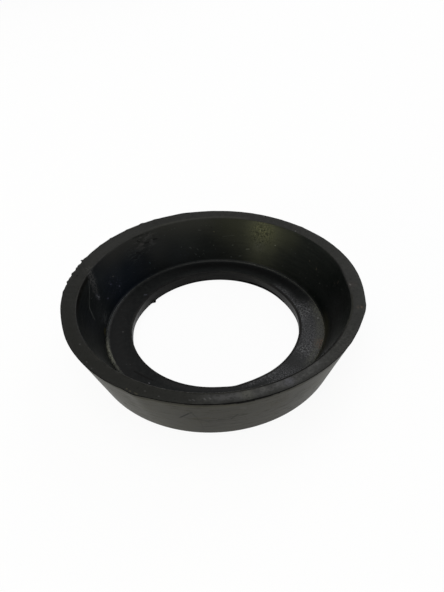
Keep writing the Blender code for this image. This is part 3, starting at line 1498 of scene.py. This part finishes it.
def inner_wall_finish(on: Marks) -> RubberFinish:
    """The inner wall: near black, dusty and bluish at the left, with a painted highlight and painted
    olive glow at the back right, painted light on its upper back, a painted reflection low at the right,
    painted shade on its right side and in the wrinkles' creases.

    Args:
        on: Places its marks.

    Returns:
        The finish.
    """
    highlight = on.bloom((60.0, 14.0), 8.5, 1.0, BLACK)
    wrinkles = on.bloom((128.0, 14.6), 6.5, 1.0, BLACK)
    worn = (0.052, 0.053, 0.052)
    fleck = (0.060, 0.064, 0.062)
    brown = (0.085, 0.070, 0.055)
    return RubberFinish(
        "inner_wall_rubber",
        dark=(0.0026, 0.0034, 0.0032),
        light=(0.0062, 0.0072, 0.0066),
        stretch=AROUND,
        roughness=(0.40, 0.58),
        specular=0.105,
        reliefs=(
            Relief(1.6 * MM, 0.03 * MM, AROUND),
            Relief(0.5 * MM, 0.13 * MM, patch=highlight),
            Relief(0.9 * MM, 0.24 * MM, (0.4, 0.4, 1.6), wrinkles),
            Relief(0.22 * MM, 0.02 * MM),
        ),
        dusts=(
            Dust(1.5 * MM, 0.19 * MM, 0.40, (0.046, 0.050, 0.048)),
            Dust(0.9 * MM, 0.14 * MM, 0.45, (0.032, 0.035, 0.035)),
            Dust(1.1 * MM, 0.14 * MM, 0.30, (0.042, 0.046, 0.044), (0.35, 0.35, 1.0)),
        ),
        blooms=(
            on.bloom((150.0, 7.5), 20.0, 0.8, (0.0020, 0.0048, 0.0098)),
            on.bloom((113.0, 9.5), 13.0, 0.75, (0.0088, 0.0100, 0.0098)),
            on.bloom((96.0, 5.0), 9.0, 0.7, (0.0054, 0.0070, 0.0066)),
            # Painted light: the wall's upper back is lighter toward the lip
            on.bloom((105.0, 11.0), 8.0, 0.4, (0.0170, 0.0190, 0.0180)),
            on.band((122.0, 16.8), 7.0, 0.95, (0.0205, 0.0207, 0.0188), half_turn=46.0, fade=22.0),
            on.bloom((78.0, 15.5), 12.0, 0.7, (0.0180, 0.0186, 0.0125)),
            # Painted highlight on the back right of the wall
            on.bloom((60.0, 14.0), 9.0, 0.7, (0.042, 0.043, 0.024)),
            # More painted light on the upper back left
            on.bloom((122.0, 11.5), 7.0, 0.7, (0.0170, 0.0180, 0.0175)),
            on.bloom((152.0, 11.5), 5.0, 0.4, (0.0140, 0.0160, 0.0180)),
            on.bloom((163.0, 13.5), 5.0, 0.45, (0.0120, 0.0145, 0.0165)),
            on.bloom((189.0, 10.0), 10.0, 0.8, (0.0012, 0.0022, 0.0036)),
            on.bloom((113.0, 6.5), 6.0, 0.4, (0.0080, 0.0105, 0.0125)),
            # Painted olive glow beside the highlight, and its fainter painted lower part
            on.bloom((46.0, 15.0), 7.0, 0.5, (0.020, 0.021, 0.014)),
            on.bloom((61.0, 7.0), 7.5, 0.6, (0.0150, 0.0155, 0.0115)),
            # Painted shade: the right side of the wall darker
            on.bloom((2.0, 9.0), 22.0, 1.0, (0.0002, 0.0008, 0.0005)),
            on.bloom((352.0, 12.0), 14.0, 0.8, (0.0002, 0.0004, 0.0003)),
            # Painted reflection of the pale floor low on the right wall
            on.band((338.0, 4.2), 2.4, 0.8, (0.0130, 0.0130, 0.0075), half_turn=28.0, fade=16.0,
                    core=0.6),
            on.band((181.0, 16.6), 0.9, 0.9, (0.0012, 0.0010, 0.0004), half_turn=16.0, fade=5.0,
                    core=0.3),
            on.bloom((166.8, 16.6), 2.4, 0.9, worn, 0.50, (0.44, 0.54), grain_rough=0.6),
            on.bloom((168.3, 14.6), 2.7, 0.9, worn, 0.50, (0.45, 0.54), grain_rough=0.6),
            on.bloom((170.2, 12.6), 2.2, 0.9, worn, 0.46, (0.46, 0.56), grain_rough=0.6),
            on.bloom((171.6, 10.7), 1.6, 1.0, (0.085, 0.088, 0.098), 0.40, (0.48, 0.58)),
            on.bloom((128.0, 15.2), 6.0, 0.9, (0.046, 0.046, 0.044), 0.9, (0.50, 0.58),
                     stretch=(0.45, 0.45, 1.8), grain_rough=0.6),
            on.bloom((137.0, 12.6), 5.0, 0.8, (0.026, 0.029, 0.029), 0.7, (0.50, 0.60),
                     stretch=(0.45, 0.45, 1.8)),
            on.bloom((157.0, 8.2), 7.0, 0.8, (0.030, 0.032, 0.050), 0.55, (0.55, 0.65)),
            on.bloom((178.0, 5.5), 5.0, 1.0, (0.034, 0.038, 0.044), 0.45, (0.50, 0.62),
                     stretch=(1.4, 1.4, 0.5)),
            on.bloom((107.0, 6.0), 6.0, 0.8, (0.024, 0.028, 0.040), 0.4, (0.58, 0.68)),
            # Painted highlight: a grey painted reflection below it, bright painted specks and dark pits
            # in it
            on.bloom((62.0, 9.8), 3.6, 0.45, (0.060, 0.060, 0.053), 0.55, (0.36, 0.62),
                     stretch=(1.3, 1.3, 0.5)),
            on.bloom((61.5, 14.4), 5.2, 0.9, (0.090, 0.090, 0.048), 0.48, (0.50, 0.60), grain_rough=0.6),
            on.bloom((61.5, 13.0), 6.5, 1.0, (0.003, 0.003, 0.001), 0.58, (0.51, 0.59), grain_rough=0.6),
        ),
        scuffs=on.scuffs(
            # Painted shade in the creases of the wrinkles at the back left
            ((133.8, 16.9), (130.4, 16.8), 0.36, 0.45, BLACK),
            ((130.4, 16.8), (124.9, 16.4), 0.38, 0.55, BLACK),
            ((123.2, 14.1), (121.0, 14.0), 0.32, 0.8, BLACK),
            ((128.4, 14.0), (126.1, 13.8), 0.32, 0.7, BLACK),
            ((132.0, 15.6), (131.0, 15.0), 0.34, 0.8, BLACK),
            ((134.8, 12.4), (132.8, 11.9), 0.30, 0.7, BLACK),
            ((137.6, 11.3), (135.7, 10.9), 0.30, 0.7, BLACK),
            ((127.0, 15.4), (123.6, 15.2), 0.60, 0.4, (0.040, 0.040, 0.040)),
            ((130.7, 14.4), (129.4, 13.9), 0.50, 0.4, (0.046, 0.043, 0.043)),
            ((133.8, 13.7), (130.0, 13.0), 0.34, 0.45, (0.040, 0.038, 0.038)),
            ((170.4, 15.9), (172.8, 14.5), 0.22, 0.4, fleck),
            ((172.8, 14.5), (174.8, 13.8), 0.20, 0.5, fleck),
            ((174.8, 13.8), (182.4, 12.0), 0.22, 0.5, fleck),
            ((182.4, 12.0), (183.8, 10.9), 0.24, 0.7, fleck),
            ((183.8, 10.9), (185.8, 9.1), 0.26, 0.7, fleck),
            ((154.3, 7.2), (153.9, 7.0), 0.28, 0.75, (0.075, 0.080, 0.110)),
            ((155.0, 10.8), (154.2, 10.6), 0.24, 0.7, fleck),
            ((166.4, 7.6), (165.6, 7.4), 0.26, 0.8, (0.050, 0.052, 0.080)),
            ((159.0, 9.6), (158.2, 9.4), 0.24, 0.7, (0.045, 0.047, 0.075)),
            ((175.5, 6.2), (180.7, 4.9), 0.18, 0.6, fleck),
            ((174.6, 5.4), (178.3, 5.0), 0.18, 0.6, fleck),
            ((83.6, 11.3), (77.1, 11.8), 0.15, 0.3, fleck),
            ((103.4, 8.7), (102.6, 8.2), 0.17, 0.5, fleck),
            ((99.3, 7.9), (98.5, 7.4), 0.17, 0.4, fleck),
            ((100.8, 6.4), (100.1, 6.0), 0.16, 0.4, fleck),
            ((95.7, 6.1), (95.1, 5.8), 0.16, 0.4, fleck),
            ((73.5, 5.3), (72.3, 5.5), 0.16, 0.6, fleck),
            ((69.5, 7.85), (67.6, 8.07), 0.17, 0.6, (0.095, 0.100, 0.085)),
            ((52.6, 11.16), (52.3, 11.2), 0.21, 0.6, (0.12, 0.12, 0.11)),
            ((78.1, 8.6), (77.4, 8.7), 0.17, 0.5, (0.070, 0.080, 0.070)),
            ((97.4, 13.7), (95.8, 13.6), 0.18, 0.35, GREY),
            ((88.8, 12.9), (88.4, 12.8), 0.22, 0.4, (0.080, 0.072, 0.045)),
            ((90.2, 14.3), (89.5, 14.0), 0.20, 0.5, BLACK),
            ((129.4, 7.9), (129.2, 7.5), 0.20, 0.8, (0.030, 0.050, 0.055)),
            ((29.1, 11.9), (28.6, 11.7), 0.20, 0.3, brown),
            ((22.7, 11.4), (22.3, 11.0), 0.20, 0.35, brown),
            ((3.5, 14.6), (3.4, 14.0), 0.17, 0.5, brown),
            ((5.5, 13.2), (5.3, 12.9), 0.17, 0.4, brown),
            ((345.6, 11.5), (345.7, 12.1), 0.20, 0.5, brown),
            ((337.5, 10.2), (337.5, 10.5), 0.22, 0.6, PALE),
            ((184.0, 4.4), (187.5, 4.2), 0.50, 0.7, (0.026, 0.022, 0.004)),
        ),
    )


def lip_finish(on: Marks) -> RubberFinish:
    """The lip's face: matt and smooth at the back, with a painted highlight along its inner edge there,
    and chalky at the front right.

    Args:
        on: Places its marks.

    Returns:
        The finish.
    """
    chalk = (0.060, 0.060, 0.059)
    ochre = (0.075, 0.068, 0.042)
    return RubberFinish(
        "lip_rubber",
        dark=(0.0072, 0.0073, 0.0060),
        light=(0.0120, 0.0122, 0.0106),
        roughness=(0.5, 0.7),
        specular=0.16,
        reliefs=(Relief(1.6 * MM, 0.02 * MM), Relief(0.22 * MM, 0.015 * MM)),
        dusts=(Dust(1.4 * MM, 0.17 * MM, 0.10, (0.045, 0.045, 0.038)),),
        blooms=(
            # Painted highlight along the lip's inner edge at the back
            on.band((98.0, 36.5), 0.8, 0.6, (0.022, 0.022, 0.017), half_turn=32.0),
            on.band((142.0, 38.0), 3.5, 0.6, (0.0185, 0.0185, 0.0170), half_turn=24.0),
            on.band((226.0, 38.0), 3.5, 0.75, (0.0046, 0.0048, 0.0026), half_turn=48.0, fade=22.0),
            on.band((289.0, 38.1), 1.7, 0.8, (0.022, 0.022, 0.021), half_turn=27.0, core=0.5),
            on.band((291.0, 38.0), 1.9, 0.6, chalk, 0.45, (0.42, 0.72), half_turn=27.0),
            on.band((291.0, 38.0), 2.0, 0.7, chalk, 1.3, (0.44, 0.62), grain_rough=0.6, half_turn=28.0),
            on.bloom((280.5, 38.1), 2.6, 1.0, (0.068, 0.068, 0.058), 0.6, (0.25, 0.65)),
            on.bloom((285.6, 37.5), 2.0, 0.8, (0.070, 0.070, 0.066), 0.5, (0.25, 0.65)),
            on.bloom((291.2, 37.7), 1.8, 0.8, (0.070, 0.070, 0.070), 0.5, (0.25, 0.65)),
            on.bloom((294.6, 38.2), 2.0, 1.0, (0.080, 0.080, 0.092), 0.5, (0.30, 0.65)),
            on.bloom((320.0, 38.0), 9.0, 0.6, (0.044, 0.044, 0.041), 0.6, (0.40, 0.70), grain_rough=0.6),
            on.bloom((268.0, 38.4), 5.0, 0.6, (0.040, 0.040, 0.036), 0.8, (0.44, 0.70)),
            on.bloom((164.5, 36.8), 2.4, 0.6, (0.052, 0.052, 0.048), 0.5, (0.44, 0.62)),
            on.bloom((341.5, 38.9), 1.4, 0.8, (0.085, 0.058, 0.042), 0.5),
            on.band((2.0, 36.2), 1.0, 0.8, (0.0040, 0.0040, 0.0030), half_turn=18.0),
            on.band((176.0, 36.0), 0.7, 0.7, (0.0060, 0.0058, 0.0035), half_turn=16.0),
            on.bloom((355.6, 37.2), 2.0, 0.4, (0.028, 0.020, 0.018)),
        ),
        scuffs=on.scuffs(
            ((170.7, 38.4), (170.6, 38.4), 0.45, 1.0, BLACK),
            ((213.7, 37.5), (213.9, 37.6), 0.24, 0.45, (0.09, 0.09, 0.09)),
            ((223.3, 39.0), (223.5, 39.0), 0.24, 0.45, (0.08, 0.08, 0.08)),
            ((227.0, 39.4), (227.2, 39.4), 0.22, 0.45, GREY),
            ((222.4, 36.3), (222.6, 36.4), 0.24, 0.45, (0.08, 0.08, 0.08)),
            ((242.4, 39.4), (242.6, 39.5), 0.24, 0.45, ochre),
            ((243.8, 39.6), (244.1, 39.7), 0.22, 0.45, ochre),
            ((245.6, 39.7), (246.6, 39.8), 0.18, 0.45, ochre),
            ((248.0, 38.4), (248.2, 38.4), 0.24, 0.45, GREY),
            ((253.0, 38.9), (253.2, 38.9), 0.22, 0.5, GREY),
            ((262.6, 38.8), (263.0, 38.9), 0.24, 0.4, GREY),
            ((263.6, 38.6), (264.2, 38.9), 0.24, 0.5, GREY),
            ((267.1, 38.3), (267.5, 38.6), 0.22, 0.5, (0.09, 0.09, 0.09)),
            ((268.7, 38.1), (269.1, 38.4), 0.22, 0.5, (0.09, 0.09, 0.09)),
            ((166.2, 39.4), (164.3, 38.7), 0.20, 0.5, SOOT),
            ((164.3, 38.7), (164.1, 37.2), 0.20, 0.6, SOOT),
            ((164.1, 37.2), (165.0, 36.2), 0.20, 0.5, SOOT),
            ((356.2, 36.8), (355.4, 37.0), 0.22, 0.7, PALE),
            ((43.6, 36.8), (43.8, 36.8), 0.28, 0.9, PALE),
            ((112.0, 38.4), (104.0, 38.5), 0.22, 0.5, SOOT),
        ),
    )


def mouth_edge_finish(on: Marks) -> RubberFinish:
    """The lip's inner edge at the front: dull, with a painted black line of shade at the front right.

    Args:
        on: Places its marks.

    Returns:
        The finish.
    """
    return RubberFinish(
        "mouth_edge_rubber",
        dark=(0.0110, 0.0110, 0.0090),
        light=(0.0190, 0.0190, 0.0160),
        roughness=(0.55, 0.7),
        specular=0.08,
        blooms=(
            # Painted shade: a black line along the edge at the front right
            on.band((308.0, 36.5), 0.9, 0.92, BLACK, half_turn=26.0, fade=10.0, core=0.3),
        ),
    )


def shaded_edge_finish() -> RubberFinish:
    """The sealing edge and the bore's lower edge: a dull black line of painted shade.

    Returns:
        The finish.
    """
    return RubberFinish(
        "painted_shade_edge_rubber",
        # Near-black colour: painted shade along the edges
        dark=(0.0020, 0.0020, 0.0020),
        light=(0.0050, 0.0050, 0.0050),
        roughness=(0.6, 0.75),
        specular=0.012,
    )


def finishes(sizes: SealSizes) -> dict[Zone, RubberFinish]:
    """The finish of each of the seal's surfaces.

    Args:
        sizes: The seal's sizes.

    Returns:
        The finishes by surface.
    """
    floor = Marks(sizes, Zone.FLOOR)
    lip = Marks(sizes, Zone.LIP)
    return {
        Zone.OUTER_WALL: outer_wall_finish(Marks(sizes, Zone.OUTER_WALL)),
        Zone.UNDERSIDE: underside_finish(),
        Zone.BORE: bore_finish(),
        Zone.FLOOR: floor_finish(floor),
        Zone.RIDGE: ridge_finish(floor),
        Zone.INNER_WALL: inner_wall_finish(Marks(sizes, Zone.INNER_WALL)),
        Zone.LIP: lip_finish(lip),
        Zone.MOUTH_EDGE: mouth_edge_finish(lip),
        Zone.EDGE: shaded_edge_finish(),
    }


@dataclass(frozen=True)
class PaleFloor:
    """A plain pale floor that shows white and keeps the seal's shadow."""

    radius: float = 3.0
    gap: float = 0.02 * MM
    colour: Colour = (0.92, 0.92, 0.92)
    white_share: float = 0.93

    def material(self) -> bpy.types.Material:
        """White paint, mixed with plain white where the camera or a reflection sees it.

        Returns:
            A new material.
        """
        material = bpy.data.materials.new("pale_floor")
        sheet = NodeSheet(material)
        sheet.nodes.clear()
        path = sheet.add("LightPath", {}).outputs
        seen = path["Is Camera Ray"]
        for other in ("Is Glossy Ray", "Is Transmission Ray"):
            seen = sheet.math("MAXIMUM", seen, path[other])
        share = sheet.math("MULTIPLY", seen, self.white_share)
        paint = sheet.add("BsdfDiffuse", {"Color": (*self.colour, 1.0)}).outputs[0]
        white = sheet.add("Emission", {"Strength": 1.0}).outputs[0]
        mix = sheet.add("MixShader", {"Fac": share, 1: paint, 2: white}).outputs[0]
        sheet.add("OutputMaterial", {"Surface": mix})
        return material

    def build(self) -> bpy.types.Object:
        """The floor as a round sheet just under the seal.

        Returns:
            The floor, marked as stage.
        """
        steps = 128
        rim = [Place(360.0 * step / steps, self.radius, -self.gap).point() for step in range(steps)]
        mesh = bpy.data.meshes.new("floor_sheet")
        mesh.from_pydata(rim, [], [tuple(range(steps))])
        mesh.materials.append(self.material())
        floor = bpy.data.objects.new("floor_sheet", mesh)
        bpy.context.scene.collection.objects.link(floor)
        floor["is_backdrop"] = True
        return floor


@dataclass(frozen=True)
class Softbox:
    """A square area lamp that looks at the seal.

    Attributes:
        name: The lamp's name.
        azimuth: Where it stands, in degrees.
        elevation: How high it stands, in degrees.
        distance: How far it is from the seal, in metres.
        size: Length of its side, in metres.
        power: Its power, in watts.
        colour: Its colour.
    """

    name: str
    azimuth: float
    elevation: float
    distance: float
    size: float
    power: float
    colour: Colour = (1.0, 1.0, 1.0)

    def build(self, target: Vector) -> bpy.types.Object:
        """Hangs the lamp and turns it to the seal.

        Args:
            target: The point that it looks at.

        Returns:
            The lamp's object.
        """
        lamp = bpy.data.lights.new(self.name, "AREA")
        lamp.shape = "SQUARE"
        lamp.size = self.size
        lamp.energy = self.power
        lamp.color = self.colour
        rise = math.radians(self.elevation)
        flat = Place(self.azimuth, math.cos(rise) * self.distance, math.sin(rise) * self.distance)
        holder = bpy.data.objects.new(self.name, lamp)
        holder.location = target + flat.point()
        holder.rotation_euler = (target - holder.location).to_track_quat("-Z", "Y").to_euler()
        holder.visible_camera = False
        bpy.context.scene.collection.objects.link(holder)
        return holder


@dataclass(frozen=True)
class Studio:
    """Plain soft light: a pale dome that is white at the horizon, and softboxes."""

    horizon: float = 1.0
    overhead: float = 0.28
    band_low: float = 0.10
    band_high: float = 0.55
    target_height: float = 9.0 * MM
    softboxes: tuple[Softbox, ...] = (
        Softbox("top_softbox", 200.0, 80.0, 1.2, 1.0, 7.5),
        Softbox("window_softbox", 62.0, 38.0, 1.4, 0.7, 4.5),
        Softbox("front_lamp", 222.0, 9.0, 1.0, 0.3, 4.5, (0.98, 1.0, 0.60)),
    )

    def build(self) -> None:
        """Lights the dome and hangs the softboxes."""
        world = bpy.data.worlds.new("studio_dome")
        sheet = NodeSheet(world)
        place = sheet.add("TexCoord", {}).outputs["Generated"]
        rise = sheet.add("SeparateXYZ", {0: place}).outputs["Z"]
        level = sheet.ramp(rise, self.band_low, self.band_high, self.horizon, self.overhead)
        sheet.feed(sheet.nodes["Background"].inputs["Color"], level)
        bpy.context.scene.world = world
        for softbox in self.softboxes:
            softbox.build(Vector((0.0, 0.0, self.target_height)))


@dataclass(frozen=True)
class PhotoCamera:
    """The photograph's camera, fitted to the circles of the seal.

    Attributes:
        elevation: How far it looks down, in degrees.
        roll: Its turn about its own line of sight, in degrees.
        distance: Distance of the origin along the line of sight, in metres.
        aside: How far right of the line of sight the origin lies, as a share of the distance.
        below: How far below it the origin lies, as the same share.
        focal_px: Focal length in the photograph's pixels.
        height_px: Height of the photograph in pixels.
        sensor: Length of the sensor's long side, in millimetres.
        near_clip: Nearest distance that it shows, in metres.
    """

    elevation: float = 39.377
    roll: float = 2.485
    distance: float = 131.49 * MM
    aside: float = -0.0164
    below: float = 0.0767
    focal_px: float = 445.0
    height_px: float = 592.0
    sensor: float = 36.0
    near_clip: float = 5.0 * MM

    def build(self) -> bpy.types.Object:
        """Makes the camera and gives it to the scene.

        Returns:
            The camera's object.
        """
        tilt = math.radians(self.elevation)
        turn = math.radians(self.roll)
        ahead = Vector((0.0, math.cos(tilt), -math.sin(tilt)))
        level_right = Vector((1.0, 0.0, 0.0))
        level_down = ahead.cross(level_right)
        right = level_right * math.cos(turn) + level_down * math.sin(turn)
        down = level_down * math.cos(turn) - level_right * math.sin(turn)
        place = -self.distance * (ahead + right * self.aside + down * self.below)
        lens = bpy.data.cameras.new("photo_camera")
        lens.sensor_fit = "VERTICAL"
        lens.sensor_height = self.sensor
        lens.sensor_width = self.sensor
        lens.lens = self.focal_px * self.sensor / self.height_px
        lens.clip_start = self.near_clip
        camera = bpy.data.objects.new("photo_camera", lens)
        axes = Matrix((right, -down, -ahead)).transposed()
        camera.matrix_world = Matrix.Translation(place) @ axes.to_4x4()
        bpy.context.scene.collection.objects.link(camera)
        bpy.context.scene.camera = camera
        return camera


def dress(seal: bpy.types.Object, sizes: SealSizes) -> None:
    """Gives the seal's mesh one finish for each zone.

    Args:
        seal: The seal's object, whose faces carry their zone's number.
        sizes: The seal's sizes.
    """
    looks = finishes(sizes)
    for zone in Zone:
        seal.data.materials.append(looks[zone].material())
        LOG.info("dressed %s with %s", zone.name.lower(), looks[zone].name)


def main() -> None:
    """Builds the seal, the floor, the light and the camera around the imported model."""
    logging.basicConfig(level=logging.INFO, format="%(name)s: %(message)s")
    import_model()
    cad_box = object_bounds()
    low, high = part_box("cup_seal")
    sizes = SealSizes(sealing_radius=high.x, height=high.z)
    seal = CupSeal(sizes).build()
    dress(seal, sizes)
    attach(seal, "root")
    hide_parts("cup_seal")
    PaleFloor().build()
    Studio().build()
    PhotoCamera().build()
    scene = bpy.context.scene
    scene.view_settings.view_transform = "Standard"
    boxes = {"cad": cad_box, "visual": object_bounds()}
    boxes = {name: [list(corner) for corner in box] for name, box in boxes.items()}


if __name__ == "__main__":
    main()
